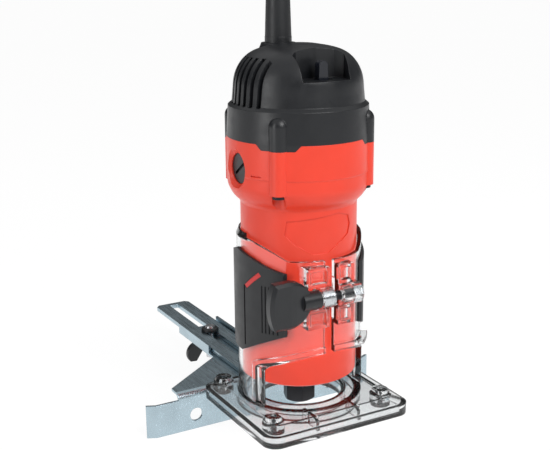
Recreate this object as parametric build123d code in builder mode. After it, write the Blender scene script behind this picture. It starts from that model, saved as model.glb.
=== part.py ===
"""A corded trim router: a motor unit clamped in a clear depth base, with a straight guide.

The origin is on the spindle axis, on the face of the sole. +Z runs up the spindle, +X is to the
right of a person who faces the depth clamp, and +Y runs back, along the guide's arm. Millimetres.
"""

import os
from math import cos, pi, radians, sin, sqrt, tan

from build123d import *

os.makedirs("parts", exist_ok=True)

FIT = 0.05  # radial clearance of a running fit
GAP = 0.35  # clearance between bodies that pass each other

# Motor housing and cap, as radii and heights.
BARREL_R = 31.6
HEAD_R = 38.2
BARREL_BOTTOM, FLARE_BOTTOM, FLARE_TOP = 21.6, 118.5, 130.5
BRUSH_Z, SEAM_Z, BAND_TOP_Z, CAP_TOP_Z = 139.0, 154.2, 170.4, 201.6
BOSS_ANGLES = (46.5, 133.5, 226.5, 313.5)  # the four screw columns, from the front
BOSS_PLACE_R, BOSS_R, BOSS_BOTTOM, BOSS_TOP = 35.4, 5.2, 128.4, 168.4
SCREW_PLACE_R, SCREW_R, SCREW_HEAD_R = 35.8, 1.9, 3.4
TAB_DROP = 3.0  # how far the cap's skirt dips round each screw column
BRUSH_CAP_R, BRUSH_CONE_R = 8.0, 10.9

# Rotating parts.
SHAFT_R, SPINDLE_R, COLLET_BORE_R = 4.0, 6.5, 3.0
NUT_BOTTOM, NUT_TOP, NUT_FLATS = 1.8, 14.0, 16.0
FRONT_BEARING_Z, FRONT_BEARING_W, FRONT_BEARING_R = 28.0, 8.0, 14.0
REAR_BEARING_Z, REAR_BEARING_W, REAR_BEARING_R = 152.0, 7.0, 11.0
CORE_BOTTOM, CORE_TOP, ROTOR_R, STATOR_R = 66.0, 102.0, 14.6, 28.9

# Clear base.
SOLE_WIDTH, SOLE_DEPTH, SOLE_CENTRE_Y = 90.0, 82.0, -5.6
SOLE_T, PLATE_SIDE_Z, PLATE_TOP_Z = 2.0, 6.0, 9.5
SLEEVE_BORE_R, SLEEVE_R, SLEEVE_TOP, RIM_FRONT_Z = 31.95, 34.2, 103.5, 92.5
OPENING_R, OPENING_TOP_Z = 24.0, 8.2
WINDOW_HALF, WINDOW_SIDE_Z, WINDOW_ARCH_Z = 31.0, 33.0, 41.5
SPLIT_LEFT, SPLIT_RIGHT = -4.0, 1.2
CLAMP_Y, CLAMP_Z = -39.5, 74.8
SOLE_SCREWS = ((-34, -31), (34, -31), (34, 28), (-34, 28))
PAD_R, PAD_T = 34.3, 1.5

# Straight guide.
ARM_HALF, ARM_BOTTOM, ARM_T, ARM_START, ARM_END = 12.3, 0.3, 2.7, 35.8, 181.0
SLOT_HALF, SLOT_START, SLOT_END, ARM_CORNER = 3.25, 60.0, 177.0, 2.5
SHEET_T, FENCE_Y, FENCE_TOP, FENCE_BOTTOM, FENCE_BEND_R = 1.5, 41.0, -4.0, -24.0, 4.0
FENCE_HALF, FENCE_FLAT_HALF, WEB_HALF = 76.6, 71.2, 57.0
FENCE_HOLE_X, FENCE_HOLE_Z, FENCE_HOLE_R = 46.0, -15.0, 4.0
GUIDE_BOLT_Y, GUIDE_BOLT_R = 117.0, 2.95
ARM_SCREW_Z = 13.0

# Cord. Its route is given as (away, side, height): away runs back and right of the spindle.
CORD_R, CORD_HEADING = 3.5, 30.6
FLOOR_Z = FENCE_BOTTOM
GUARD_Y, GUARD_TOP = 21.0, 248.0
HANK_AWAY, HANK_SIDE, HANK_STRAIGHT = 172.0, 2.0, 35.0
HANK_INNER, HANK_OUTER, HANK_LAYERS = 24.5, 31.5, 3


def around(angle, radius, height=0.0):
    """The point at that angle from the front, counted towards the right."""
    return Vector(radius * sin(radians(angle)), -radius * cos(radians(angle)), height)


def outward(angle, radius, height):
    """A plane that faces away from the spindle axis, with its own Y pointing up."""
    facing = around(angle, 1)
    return Plane(around(angle, radius, height), x_dir=(-facing.Y, facing.X, 0), z_dir=facing)


def routed(away, side, height):
    """A point of the cord's route in the part's frame."""
    a = radians(CORD_HEADING)
    return (away * sin(a) + side * cos(a), away * cos(a) - side * sin(a), height)


# ---------------------------------------------------------------- motor housing and cap

# The cap's skirt dips below the seam round each screw column, in these four blocks.
with BuildPart() as seam_tabs:
    for angle in BOSS_ANGLES:
        with BuildSketch(outward(angle, 20, SEAM_Z)):
            with BuildLine():
                Polyline((-9, -TAB_DROP), (9, -TAB_DROP), (12, 0), (-12, 0), close=True)
            make_face()
        extrude(amount=25)

# A plain shield-shaped field, sunk into the front of the barrel.
with BuildPart() as badge_field:
    with BuildSketch(Plane.XY.offset(90)):
        Circle(BARREL_R + 3)
        Circle(BARREL_R - 0.45, mode=Mode.SUBTRACT)
    extrude(amount=35)
    with BuildSketch(outward(-8, 10, 0)):
        Polygon(
            (-17.5, 113.5), (-18.5, 106), (-13, 100.5), (-4.5, 95.6), (4, 96), (17, 104), (18.5, 109),
            (17, 114), (10, 116.5),
            align=None,
        )
    extrude(amount=40, mode=Mode.INTERSECT)

with BuildPart() as motor_housing:
    with BuildSketch(Plane.XZ):
        with BuildLine():
            Polyline((29.8, BARREL_BOTTOM), (BARREL_R, BARREL_BOTTOM + 1.2), (BARREL_R, FLARE_BOTTOM))
            Spline(
                (BARREL_R, FLARE_BOTTOM),
                (34.9, 122.6),
                (37.4, 126.8),
                (HEAD_R, FLARE_TOP),
                tangents=((0.35, 1), (0, 1)),
            )
            Polyline(
                (HEAD_R, FLARE_TOP),
                (HEAD_R, 135.6),
                (HEAD_R + 0.35, 136.3),
                (HEAD_R + 0.1, SEAM_Z),
                (35.6, SEAM_Z),
                (35.6, 132),
                (29.2, 128),
                (29.2, 26),
                (29.8, BARREL_BOTTOM),
            )
        make_face()
    revolve(axis=Axis.Z)
    # The end shield carries the front bearing, and lets the cooling air out round it.
    with BuildSketch(Plane.XY.offset(24)):
        Circle(29.5)
    extrude(amount=3)
    with BuildSketch(Plane.XY.offset(24)):
        Circle(FRONT_BEARING_R + 2.5)
    extrude(amount=FRONT_BEARING_Z + FRONT_BEARING_W - 24)
    with BuildSketch(Plane.XY.offset(FRONT_BEARING_Z)):
        Circle(FRONT_BEARING_R)
    extrude(amount=20, mode=Mode.SUBTRACT)
    with BuildSketch(Plane.XY.offset(20)):
        Circle(11.2)
        with PolarLocations(22.5, 12):
            SlotOverall(8, 5, rotation=90)
    extrude(amount=8, mode=Mode.SUBTRACT)
    for angle in BOSS_ANGLES:
        with BuildSketch(Plane.XY.offset(BOSS_BOTTOM)):
            with Locations(around(angle, BOSS_PLACE_R)):
                Circle(BOSS_R)
        extrude(amount=SEAM_Z - BOSS_BOTTOM)
    # Brush openings: a wide cone that narrows to the cap, then the brush holder's hole.
    for side in (90, 270):
        with Locations(outward(side, HEAD_R - 0.9, BRUSH_Z)):
            Cone(BRUSH_CAP_R + FIT, BRUSH_CONE_R, 2.8, mode=Mode.SUBTRACT)
        with BuildSketch(outward(side, 30, BRUSH_Z)):
            Circle(BRUSH_CAP_R + FIT)
        extrude(amount=10, mode=Mode.SUBTRACT)
    # Screw access from below, then the screw's own hole.
    for angle in BOSS_ANGLES:
        with BuildSketch(Plane.XY.offset(118)):
            with Locations(around(angle, SCREW_PLACE_R)):
                Circle(SCREW_HEAD_R + 0.2)
        extrude(amount=11, mode=Mode.SUBTRACT)
        with BuildSketch(Plane.XY.offset(118)):
            with Locations(around(angle, SCREW_PLACE_R)):
                Circle(SCREW_R + 0.2)
        extrude(amount=40, mode=Mode.SUBTRACT)
    add(seam_tabs.part, mode=Mode.SUBTRACT)
    # A short moulded mark beside the left brush opening.
    with BuildSketch(outward(-65, HEAD_R + 1, BRUSH_Z - 1.6)):
        Rectangle(6.5, 0.7)
    extrude(amount=-1.7, mode=Mode.SUBTRACT)
    add(badge_field.part, mode=Mode.SUBTRACT)
motor_housing.part.label = "motor_housing"
export_step(motor_housing.part, "parts/motor_housing.step")

# The inside of the cap, less the walls of its switch pocket, gland and screw columns.
with BuildPart() as cap_cavity:
    with BuildSketch(Plane.XZ):
        with BuildLine():
            Polyline((0, 199.2), (0, SEAM_Z - TAB_DROP), (35.9, SEAM_Z - TAB_DROP), (35.9, SEAM_Z))
            Polyline((35.9, SEAM_Z), (35.2, 168.8), (32.9, 172), (32.4, 177))
            Spline(
                (32.4, 177), (31.6, 183.6), (27.9, 190.7), (21.3, 195.6), (10.5, 198.5), (0, 199.2),
                tangents=((-0.1, 1), (-1, 0)),
            )
        make_face()
    revolve(axis=Axis.Z)
    with Locations((0, -24, 193)):
        Box(36, 22, 21, mode=Mode.SUBTRACT)
    with Locations((0, GUARD_Y, 190)):
        Cylinder(12, 28, mode=Mode.SUBTRACT)
    for angle in BOSS_ANGLES:
        with Locations(around(angle, BOSS_PLACE_R, 157)):
            Cylinder(BOSS_R, 22, mode=Mode.SUBTRACT)

with BuildPart() as rear_cap:
    with BuildSketch(Plane.XZ):
        with BuildLine():
            Polyline((0, CAP_TOP_Z), (0, SEAM_Z), (HEAD_R + 0.1, SEAM_Z), (37.3, BAND_TOP_Z))
            Polyline((37.3, BAND_TOP_Z), (35.2, 172.2), (34.7, 177))
            Spline(
                (34.7, 177), (33.9, 184.5), (30.2, 192.6), (23.5, 198), (12, 200.9), (0, CAP_TOP_Z),
                tangents=((-0.1, 1), (-1, 0)),
            )
        make_face()
    revolve(axis=Axis.Z)
    # The raised collar that the cord guard comes out of.
    for height, place_y, radius in ((182, 19, 10.5), (193, 20.6, 12.6), (200.6, GUARD_Y, 9.2)):
        with BuildSketch(Plane.XY.offset(height)):
            with Locations((0, place_y)):
                Circle(radius)
    loft(ruled=True)
    for angle in BOSS_ANGLES:
        with Locations(around(angle, BOSS_PLACE_R, (SEAM_Z + BOSS_TOP - BOSS_R) / 2)):
            Cylinder(BOSS_R, BOSS_TOP - BOSS_R - SEAM_Z)
        with Locations(around(angle, BOSS_PLACE_R, BOSS_TOP - BOSS_R)):
            Sphere(BOSS_R)
    add(cap_cavity.part, mode=Mode.SUBTRACT)
    # The switch pocket: a level shelf with a wall behind it and angled cheeks.
    with BuildSketch(Plane.XY.offset(185)):
        with BuildLine():
            Polyline(
                (-15.2, -42), (-15, -19.5), (-11.5, -16.9), (1.3, -15.6), (11.2, -17.2), (15, -20.5),
                (11.8, -30.5), (11.8, -42),
                close=True,
            )
        make_face()
    extrude(amount=25, mode=Mode.SUBTRACT)
    with BuildSketch(Plane.XY.offset(181)):
        with Locations((1.5, -23)):
            Rectangle(9, 5.2)
    extrude(amount=6, mode=Mode.SUBTRACT)
    # Cooling slots, in parallel planes, up both sides and over the shoulder.
    for side in (-1, 1):
        for number in range(7):
            with Locations((side * 33, 4.9 * (number - 3), 183.6)):
                Box(17, 2.5, 24, mode=Mode.SUBTRACT)
    with BuildSketch(Plane.XY.offset(170)):
        with Locations((0, GUARD_Y)):
            Circle(7.4)
    extrude(amount=40, mode=Mode.SUBTRACT)
    with BuildSketch(Plane.XY.offset(170)):
        with Locations((0, GUARD_Y)):
            Circle(9.8)
    extrude(amount=26, mode=Mode.SUBTRACT)
    for angle in BOSS_ANGLES:
        with BuildSketch(Plane.XY.offset(SEAM_Z - TAB_DROP)):
            with Locations(around(angle, SCREW_PLACE_R)):
                Circle(SCREW_R + 0.02)
        extrude(amount=13, mode=Mode.SUBTRACT)

# The skirt's tabs, cut from a ring with the same columns.
with BuildPart() as cap_tabs:
    with BuildSketch(Plane.XY.offset(SEAM_Z - TAB_DROP)):
        Circle(HEAD_R + 0.1)
        Circle(35.9, mode=Mode.SUBTRACT)
        for angle in BOSS_ANGLES:
            with Locations(around(angle, BOSS_PLACE_R)):
                Circle(BOSS_R)
        for angle in BOSS_ANGLES:
            with Locations(around(angle, SCREW_PLACE_R)):
                Circle(SCREW_R + 0.02, mode=Mode.SUBTRACT)
    extrude(amount=TAB_DROP)
    add(seam_tabs.part, mode=Mode.INTERSECT)

with BuildPart() as rear_cap_whole:
    add(rear_cap.part)
    add(cap_tabs.part)
rear_cap_whole.part.label = "rear_cap"
export_step(rear_cap_whole.part, "parts/rear_cap.step")

with BuildPart() as cap_screws:
    for angle in BOSS_ANGLES:
        with Locations(around(angle, SCREW_PLACE_R, 127.8)):
            Cylinder(SCREW_HEAD_R, 2.4)
            Cylinder(1.5, 2.4, mode=Mode.SUBTRACT)
        with Locations(around(angle, SCREW_PLACE_R, 145.8)):
            Cylinder(SCREW_R, 33.6)
cap_screws.part.label = "cap_screws"
export_step(cap_screws.part, "parts/cap_screws.step")

with BuildPart() as cord_guard:
    with BuildSketch(Plane.XY.offset(192.4)):
        with Locations((0, GUARD_Y)):
            Circle(9.6)
    extrude(amount=3.4)
    with BuildSketch(Plane.XY.offset(195.8)):
        with Locations((0, GUARD_Y)):
            Circle(7.3)
    extrude(amount=8)
    with BuildSketch(Plane.XY.offset(203.4)):
        with Locations((0, GUARD_Y)):
            Circle(7.2)
    extrude(amount=GUARD_TOP - 203.4, taper=1.9)
cord_guard.part.label = "cord_guard"
export_step(cord_guard.part, "parts/cord_guard.step")

with BuildPart() as switch_body:
    with Locations((1.5, -22, 174.6)):
        Box(22, 15, 14)
    with Locations((1.5, -22, 166.6)):
        with GridLocations(9, 8, 2, 2):
            Box(4.8, 0.8, 6)
    with Locations((0.6, -23, 181)):
        Box(9.6, 5, 6, mode=Mode.SUBTRACT)
switch_body.part.label = "switch_body"
export_step(switch_body.part, "parts/switch_body.step")

with BuildPart() as switch_lever:
    with BuildSketch(Plane.XZ.offset(20.8)):
        with BuildLine():
            Polyline((-2.9, 183), (-2.5, 191.4))
            ThreePointArc((-2.5, 191.4), (0, 194.6), (2.5, 191.4))
            Polyline((2.5, 191.4), (2.9, 183), (1.4, 179.6), (-1.4, 179.6), (-2.9, 183))
        make_face()
    extrude(amount=4.4)
    fillet(switch_lever.edges().filter_by(Axis.Y).group_by(Axis.Z)[-1], 0.6)
switch_lever.part.label = "switch_lever"
export_step(switch_lever.part, "parts/switch_lever.step")

with BuildPart() as cord_clamp:
    with Locations((0, GUARD_Y, 182)):
        Box(17, 8, 5)
        Cylinder(CORD_R + 0.1, 12, mode=Mode.SUBTRACT)
cord_clamp.part.label = "cord_clamp"
export_step(cord_clamp.part, "parts/cord_clamp.step")

# ---------------------------------------------------------------- motor internals

with BuildPart() as stator_core:
    with BuildSketch(Plane.XY.offset(CORE_BOTTOM)):
        Circle(STATOR_R)
        Circle(ROTOR_R + 0.6, mode=Mode.SUBTRACT)
        with Locations((0, 19), (0, -19)):
            Rectangle(36, 6, mode=Mode.SUBTRACT)
    extrude(amount=CORE_TOP - CORE_BOTTOM)
stator_core.part.label = "stator_core"
export_step(stator_core.part, "parts/stator_core.step")

with BuildPart() as field_coils:
    for side in (-1, 1):
        for height in (CORE_BOTTOM - 7, CORE_TOP + 0.1):
            with BuildSketch(Plane.XY.offset(height)):
                with BuildLine():
                    CenterArc((0, 0), 26.5, 90 * side - 48, 96)
                    CenterArc((0, 0), 17, 90 * side - 48, 96)
                    Line(
                        (26.5 * cos(radians(90 * side - 48)), 26.5 * sin(radians(90 * side - 48))),
                        (17 * cos(radians(90 * side - 48)), 17 * sin(radians(90 * side - 48))),
                    )
                    Line(
                        (26.5 * cos(radians(90 * side + 48)), 26.5 * sin(radians(90 * side + 48))),
                        (17 * cos(radians(90 * side + 48)), 17 * sin(radians(90 * side + 48))),
                    )
                make_face()
            extrude(amount=6.9)
        with Locations((0, side * 19, (CORE_BOTTOM + CORE_TOP) / 2)):
            Box(30, 4, CORE_TOP - CORE_BOTTOM + 1)
field_coils.part.label = "field_coils"
export_step(field_coils.part, "parts/field_coils.step")

with BuildPart() as fan_baffle:
    with BuildSketch(Plane.XY.offset(54)):
        Circle(29.1)
        Circle(19, mode=Mode.SUBTRACT)
    extrude(amount=1.8)
fan_baffle.part.label = "fan_baffle"
export_step(fan_baffle.part, "parts/fan_baffle.step")

with BuildPart() as armature_shaft:
    with BuildSketch(Plane.XZ):
        Polygon(
            (COLLET_BORE_R + 0.9, 7.8), (SPINDLE_R, 7.8), (SPINDLE_R, 27.4), (6, 27.4), (6, 36.4),
            (SHAFT_R + 1, 38), (SHAFT_R + 1, 60), (SHAFT_R, 61), (SHAFT_R, 150), (3.5, 151),
            (3.5, 160), (0, 160), (0, 30.8), (COLLET_BORE_R + 0.9, 28.8),
            align=None,
        )
    revolve(axis=Axis.Z)
armature_shaft.part.label = "armature_shaft"
export_step(armature_shaft.part, "parts/armature_shaft.step")

with BuildPart() as collet:
    with BuildSketch(Plane.XZ):
        Polygon(
            (COLLET_BORE_R, 4.3), (5.2, 4.3), (5.2, 6), (COLLET_BORE_R + 0.88, 7.6),
            (COLLET_BORE_R + 0.88, 26.8), (COLLET_BORE_R, 26.8),
            align=None,
        )
    revolve(axis=Axis.Z)
    with PolarLocations(4.5, 3, start_angle=30):
        Box(5, 0.7, 22.8, align=(Align.CENTER, Align.CENTER, Align.MIN), mode=Mode.SUBTRACT)
collet.part.label = "collet"
export_step(collet.part, "parts/collet.step")

with BuildPart() as collet_nut:
    with BuildSketch(Plane.XY.offset(NUT_BOTTOM)):
        RegularPolygon(NUT_FLATS / 2, 6, major_radius=False, rotation=12)
    extrude(amount=NUT_TOP - NUT_BOTTOM)
    with BuildSketch(Plane.XZ):
        Polygon((7.0, NUT_BOTTOM), (12, NUT_BOTTOM + 2.9), (12, NUT_BOTTOM - 1), align=None)
    revolve(axis=Axis.Z, mode=Mode.SUBTRACT)
    with BuildSketch(Plane.XZ):
        Polygon(
            (0, 0.8), (4.4, 0.8), (4.4, 4), (5.3, 4.1), (5.3, 7.4), (SPINDLE_R + FIT, 7.5),
            (SPINDLE_R + FIT, 22.8), (0, 22.8),
            align=None,
        )
    revolve(axis=Axis.Z, mode=Mode.SUBTRACT)
collet_nut.part.label = "collet_nut"
export_step(collet_nut.part, "parts/collet_nut.step")

with BuildPart() as rotor_core:
    with BuildSketch(Plane.XY.offset(CORE_BOTTOM)):
        Circle(ROTOR_R)
        Circle(SHAFT_R, mode=Mode.SUBTRACT)
        with PolarLocations(ROTOR_R - 2.6, 12):
            Rectangle(5.4, 2.6, mode=Mode.SUBTRACT)
    extrude(amount=CORE_TOP - CORE_BOTTOM)
rotor_core.part.label = "rotor_core"
export_step(rotor_core.part, "parts/rotor_core.step")

with BuildPart() as armature_windings:
    for bottom in (CORE_BOTTOM - 5, CORE_TOP):
        with BuildSketch(Plane.XY.offset(bottom)):
            Circle(ROTOR_R - 1.6)
            Circle(SHAFT_R + 1.1, mode=Mode.SUBTRACT)
        extrude(amount=5)
    with BuildSketch(Plane.XY.offset(CORE_BOTTOM)):
        with PolarLocations(ROTOR_R - 2.8, 12):
            Rectangle(4.2, 2.0)
    extrude(amount=CORE_TOP - CORE_BOTTOM)
armature_windings.part.label = "armature_windings"
export_step(armature_windings.part, "parts/armature_windings.step")

with BuildPart() as commutator:
    with BuildSketch(Plane.XY.offset(131)):
        Circle(9.5)
        Circle(SHAFT_R, mode=Mode.SUBTRACT)
    extrude(amount=16)
    with PolarLocations(9.6, 24):
        Box(1.6, 0.4, 14, align=(Align.CENTER, Align.CENTER, Align.MIN), mode=Mode.SUBTRACT)
    with Locations((0, 0, 129)):
        Cylinder(10.6, 3.8, align=(Align.CENTER, Align.CENTER, Align.MIN))
        Cylinder(SHAFT_R, 4, align=(Align.CENTER, Align.CENTER, Align.MIN), mode=Mode.SUBTRACT)
commutator.part.label = "commutator"
export_step(commutator.part, "parts/commutator.step")

with BuildPart() as cooling_fan:
    with BuildSketch(Plane.XY.offset(41)):
        Circle(26.4)
        Circle(SHAFT_R + 1, mode=Mode.SUBTRACT)
    extrude(amount=1.6)
    with BuildSketch(Plane.XY.offset(41)):
        Circle(9)
        Circle(SHAFT_R + 1, mode=Mode.SUBTRACT)
    extrude(amount=10)
    with BuildSketch(Plane.XY.offset(42.6)):
        with PolarLocations(18.5, 14):
            Rectangle(14, 1.2, rotation=28)
    extrude(amount=8.6)
cooling_fan.part.label = "cooling_fan"
export_step(cooling_fan.part, "parts/cooling_fan.step")


def bearing_rings(bottom, width, outer, bore):
    """A deep-groove bearing as (outer ring with its balls, inner ring), which don't touch."""
    middle, ball = (outer + bore) / 2, 0.27 * (outer - bore)
    with BuildPart() as groove:
        with BuildSketch(Plane.XZ):
            with Locations((middle, bottom + width / 2)):
                Circle(ball + FIT)
        revolve(axis=Axis.Z)
    with BuildPart() as rings:
        with BuildSketch(Plane.XY.offset(bottom)):
            Circle(outer)
            Circle(middle + ball * 0.6, mode=Mode.SUBTRACT)
            Circle(middle - ball * 0.6)
            Circle(bore, mode=Mode.SUBTRACT)
        extrude(amount=width)
        add(groove.part, mode=Mode.SUBTRACT)
    with BuildPart() as balls:
        with Locations((0, 0, bottom + width / 2)):
            with PolarLocations(middle, 8):
                Sphere(ball)
    inner, outer_ring = rings.solids().sort_by(SortBy.VOLUME)
    return outer_ring, inner, balls.part


front_outer, front_inner, front_balls = bearing_rings(
    FRONT_BEARING_Z, FRONT_BEARING_W, FRONT_BEARING_R, 6.0
)
rear_outer, rear_inner, rear_balls = bearing_rings(
    REAR_BEARING_Z, REAR_BEARING_W, REAR_BEARING_R, 3.5
)
for piece, name in (
    (front_outer, "front_bearing_outer_ring"),
    (front_inner, "front_bearing_inner_ring"),
    (front_balls, "front_bearing_balls"),
    (rear_outer, "rear_bearing_outer_ring"),
    (rear_inner, "rear_bearing_inner_ring"),
    (rear_balls, "rear_bearing_balls"),
):
    piece.label = name
    export_step(piece, f"parts/{name}.step")

with BuildPart() as bearing_rubber:
    with BuildSketch(Plane.XY.offset(REAR_BEARING_Z)):
        Circle(REAR_BEARING_R + 1.6)
        Circle(REAR_BEARING_R, mode=Mode.SUBTRACT)
    extrude(amount=REAR_BEARING_W)
bearing_rubber.part.label = "bearing_rubber"
export_step(bearing_rubber.part, "parts/bearing_rubber.step")

with BuildPart() as bearing_bracket:
    with BuildSketch(Plane.XY.offset(REAR_BEARING_Z - 2)):
        Circle(REAR_BEARING_R + 3.6)
        Rectangle(8, 68)
        Rectangle(8, 68, rotation=90)
        Circle(SHAFT_R + 2, mode=Mode.SUBTRACT)
    extrude(amount=2)
    with BuildSketch(Plane.XY.offset(REAR_BEARING_Z)):
        Circle(REAR_BEARING_R + 3.6)
        Circle(REAR_BEARING_R + 1.6, mode=Mode.SUBTRACT)
    extrude(amount=REAR_BEARING_W)
bearing_bracket.part.label = "bearing_bracket"
export_step(bearing_bracket.part, "parts/bearing_bracket.step")

with BuildPart() as brush_holders:
    for side in (90, 270):
        with BuildSketch(outward(side, 11.5, BRUSH_Z)):
            Circle(6)
            Rectangle(5.1, 8.1, mode=Mode.SUBTRACT)
        extrude(amount=20.7)
        with BuildSketch(outward(side, 30, BRUSH_Z)):
            Circle(8)
            Circle(6, mode=Mode.SUBTRACT)
        extrude(amount=2.2)
brush_holders.part.label = "brush_holders"
export_step(brush_holders.part, "parts/brush_holders.step")

with BuildPart() as carbon_brushes:
    for side in (90, 270):
        with BuildSketch(outward(side, 9.7, BRUSH_Z)):
            Rectangle(5, 8)
        extrude(amount=12)
carbon_brushes.part.label = "carbon_brushes"
export_step(carbon_brushes.part, "parts/carbon_brushes.step")

with BuildPart() as brush_springs:
    for side in (90, 270):
        for turn in range(7):
            with Locations(outward(side, 22.7 + 1.4 * turn, BRUSH_Z)):
                Torus(1.7, 0.4)
brush_springs.part.label = "brush_springs"
export_step(brush_springs.part, "parts/brush_springs.step")

with BuildPart() as brush_caps:
    for side in (90, 270):
        with BuildSketch(outward(side, 32.3, BRUSH_Z)):
            Circle(BRUSH_CAP_R)
        extrude(amount=3)
        with BuildSketch(outward(side, 35.3, BRUSH_Z)):
            Rectangle(12, 1.6, rotation=35)
        extrude(amount=-1.4, mode=Mode.SUBTRACT)
brush_caps.part.label = "brush_caps"
export_step(brush_caps.part, "parts/brush_caps.step")

# ---------------------------------------------------------------- clear base


def window_outline():
    """The front window's outline, an arch with rounded shoulders."""
    with BuildSketch() as outline:
        with BuildLine():
            Polyline(
                (-WINDOW_HALF, WINDOW_SIDE_Z),
                (-WINDOW_HALF, PLATE_TOP_Z),
                (WINDOW_HALF, PLATE_TOP_Z),
                (WINDOW_HALF, WINDOW_SIDE_Z),
            )
            ThreePointArc(
                (WINDOW_HALF, WINDOW_SIDE_Z), (0, WINDOW_ARCH_Z), (-WINDOW_HALF, WINDOW_SIDE_Z)
            )
        make_face()
        fillet(outline.vertices().group_by(Axis.Y)[-1], 5)
    return outline.sketch


# The raised rim that runs round the front window.
with BuildPart() as window_rim:
    with BuildSketch(Plane.XY.offset(PLATE_TOP_Z + 1)):
        Circle(SLEEVE_R + 1.1)
        Circle(SLEEVE_R - 1, mode=Mode.SUBTRACT)
    extrude(amount=45)
    with BuildSketch(Plane.XZ.offset(8)):
        add(window_outline())
        offset(amount=3.6)
    extrude(amount=34, mode=Mode.INTERSECT)

with BuildPart() as clear_base:
    with BuildSketch(Plane.XY.offset(SOLE_T)):
        with Locations((0, SOLE_CENTRE_Y)):
            RectangleRounded(SOLE_WIDTH, SOLE_DEPTH, 8)
    extrude(amount=PLATE_SIDE_Z - SOLE_T)
    with BuildSketch(Plane.XY.offset(PLATE_SIDE_Z)):
        with Locations((0, SOLE_CENTRE_Y)):
            RectangleRounded(SOLE_WIDTH - 1, SOLE_DEPTH - 1, 7.5)
    with BuildSketch(Plane.XY.offset(PLATE_TOP_Z)):
        with Locations((0, SOLE_CENTRE_Y)):
            RectangleRounded(SOLE_WIDTH - 15, SOLE_DEPTH - 15, 5)
    loft()
    # The plate is hollow from below, with a ring, two ribs and four screw posts left in.
    with BuildSketch(Plane.XY.offset(SOLE_T)):
        with Locations((0, SOLE_CENTRE_Y)):
            RectangleRounded(SOLE_WIDTH - 6, SOLE_DEPTH - 6, 6)
    extrude(amount=3.2, mode=Mode.SUBTRACT)
    with BuildSketch(Plane.XY.offset(SOLE_T + 3.2)):
        with Locations((0, SOLE_CENTRE_Y)):
            RectangleRounded(SOLE_WIDTH - 6, SOLE_DEPTH - 6, 6)
    with BuildSketch(Plane.XY.offset(PLATE_TOP_Z - 2)):
        with Locations((0, SOLE_CENTRE_Y)):
            RectangleRounded(SOLE_WIDTH - 17, SOLE_DEPTH - 17, 4)
    loft(mode=Mode.SUBTRACT)
    with BuildSketch(Plane.XY.offset(SOLE_T)):
        Circle(OPENING_R + 2.4)
        with Locations((-13, -34), (13, -34), (-13, 27), (13, 27)):
            Rectangle(1.8, 14)
        for x, y in SOLE_SCREWS:
            with Locations((x, y)):
                Circle(5.6)
    extrude(amount=PLATE_TOP_Z - SOLE_T)
    with BuildSketch(Plane.XY.offset(PLATE_TOP_Z)):
        for x, y in SOLE_SCREWS:
            with Locations((x, y)):
                Circle(5.2)
    extrude(amount=1.8, taper=20)
    # The sleeve, which widens where it meets the plate.
    with BuildSketch(Plane.XZ):
        with BuildLine():
            Polyline(
                (SLEEVE_BORE_R - 1, SOLE_T),
                (34.9, SOLE_T),
                (34.9, PLATE_TOP_Z),
            )
            ThreePointArc((34.9, PLATE_TOP_Z), (34.45, 14), (SLEEVE_R, 22))
            Polyline(
                (SLEEVE_R, 22),
                (SLEEVE_R, SLEEVE_TOP - 3),
                (SLEEVE_R - 1.4, SLEEVE_TOP),
                (SLEEVE_BORE_R - 1, SLEEVE_TOP),
                (SLEEVE_BORE_R - 1, SOLE_T),
            )
        make_face()
    revolve(axis=Axis.Z)
    # Clamp ears: a boss for the screw between two ribbed frames, on each side of the split.
    for start, end in ((-17, SPLIT_LEFT), (SPLIT_RIGHT, 11)):
        middle, width = (start + end) / 2, end - start
        with Locations((middle, -33.5, 85.5), (middle, -33.5, 62.9)):
            Box(width, 10, 10.2)
        for height in (85.5, 62.9):
            with Locations((middle, -37.4, height)):
                Box(width - 3.6, 4, 6.6, mode=Mode.SUBTRACT)
    with BuildSketch(Plane.YZ.offset(-11)):
        with Locations((CLAMP_Y, CLAMP_Z)):
            Circle(5.6)
        with Locations((-34.5, CLAMP_Z)):
            Rectangle(10, 11.2)
    extrude(amount=24)
    # The edge lip below the right ear.
    with BuildSketch(Plane.XY.offset(40)):
        Circle(38.2)
        Circle(33, mode=Mode.SUBTRACT)
        with BuildLine() as lip_sector:
            Polyline((0, 0), around(36, 60), around(60, 60), close=True)
        make_face(mode=Mode.INTERSECT)
    extrude(amount=2.2)
    add(window_rim.part)
    # The rear boss that the guide's arm is screwed to.
    with Locations((0, 31.6, 14.5)):
        Box(22, 8, 17)
    # The bore, the sole's opening, the rim's dip, the split and the front window.
    with BuildSketch(Plane.XY.offset(PLATE_TOP_Z)):
        Circle(SLEEVE_BORE_R)
    extrude(amount=120, mode=Mode.SUBTRACT)
    with BuildSketch(Plane.XY):
        Circle(OPENING_R)
    extrude(amount=40, mode=Mode.SUBTRACT)
    with BuildSketch(Plane.XZ):
        Polygon(
            (0, OPENING_TOP_Z), (OPENING_R, OPENING_TOP_Z), (OPENING_R + 1.6, PLATE_TOP_Z),
            (0, PLATE_TOP_Z),
            align=None,
        )
    revolve(axis=Axis.Z, mode=Mode.SUBTRACT)
    with BuildSketch(Plane.XZ):
        Polygon(
            (-21, RIM_FRONT_Z), (21, RIM_FRONT_Z), (35.5, SLEEVE_TOP), (35.5, 120), (-35.5, 120),
            (-35.5, SLEEVE_TOP),
            align=None,
        )
    extrude(amount=60, mode=Mode.SUBTRACT)
    with Locations(((SPLIT_LEFT + SPLIT_RIGHT) / 2, -38, 70)):
        Box(SPLIT_RIGHT - SPLIT_LEFT, 20, 80, mode=Mode.SUBTRACT)
    with BuildSketch(Plane.XZ.offset(8)):
        add(window_outline())
    extrude(amount=34, mode=Mode.SUBTRACT)
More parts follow.
